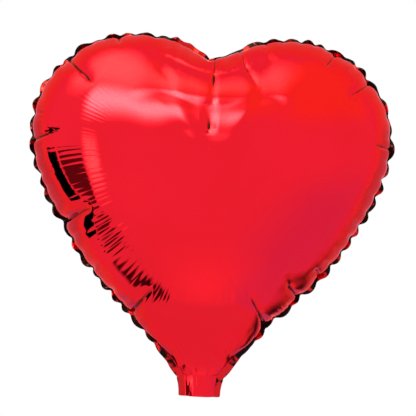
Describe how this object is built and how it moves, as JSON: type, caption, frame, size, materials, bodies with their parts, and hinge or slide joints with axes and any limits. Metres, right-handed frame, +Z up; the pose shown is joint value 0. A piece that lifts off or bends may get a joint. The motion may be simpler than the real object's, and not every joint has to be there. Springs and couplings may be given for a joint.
{
  "type": "heart-shaped foil balloon",
  "caption": "Inflated heart-shaped balloon of shiny red metallised film, with a welded rim, a folding neck tab and a flat self-sealing valve inside.",
  "frame": {"origin": "centre of the neck's mouth, at the bottom edge, where the balloon is filled, tied or held", "axes": "+Z up along the middle of the heart, from the neck's mouth towards the cleft; -Y out of the front panel; +X to the right as seen from the front"},
  "size_m": [0.3878, 0.18, 0.3839],
  "materials": {
    "red_foil": "gloss red metallised film, mirror-like with a clear outer coat",
    "red_weld": "red film fused by heat, slightly dulled and crimped",
    "valve_film": "thin clear polyethylene film, slightly milky",
    "valve_weld": "fused clear film, slightly milky",
    "release_ink": "matt grey heat-resistant ink"
  },
  "bodies": {
    "heart": {"front_foil_panel": "red_foil", "rear_foil_panel": "red_foil", "rim_heat_seal": "red_weld"},
    "neck": {"neck_front_wall": "red_foil", "neck_rear_wall": "red_foil", "neck_seal_left": "red_weld", "neck_seal_right": "red_weld", "inlet_front_film": "valve_film", "inlet_rear_film": "valve_film", "inlet_seam_left": "valve_weld", "inlet_seam_right": "valve_weld", "inlet_weld_front": "valve_weld", "inlet_weld_rear": "valve_weld", "valve_release_print": "release_ink"},
    "valve_tongue": {"valve_front_film": "valve_film", "valve_rear_film": "valve_film", "valve_seam_left": "valve_weld", "valve_seam_right": "valve_weld"}
  },
  "joints": [
    {"name": "neck_fold", "type": "hinge", "parent": "heart", "child": "neck", "pos_m": [0, 0, 0.02], "axis": [1, 0, 0], "range_deg": [-60, 60]},
    {"name": "valve_swing", "type": "hinge", "parent": "heart", "child": "valve_tongue", "pos_m": [0, 0, 0.022], "axis": [1, 0, 0], "range_deg": [-20, 20], "stiffness_Nm_per_rad": 0.002}
  ]
}
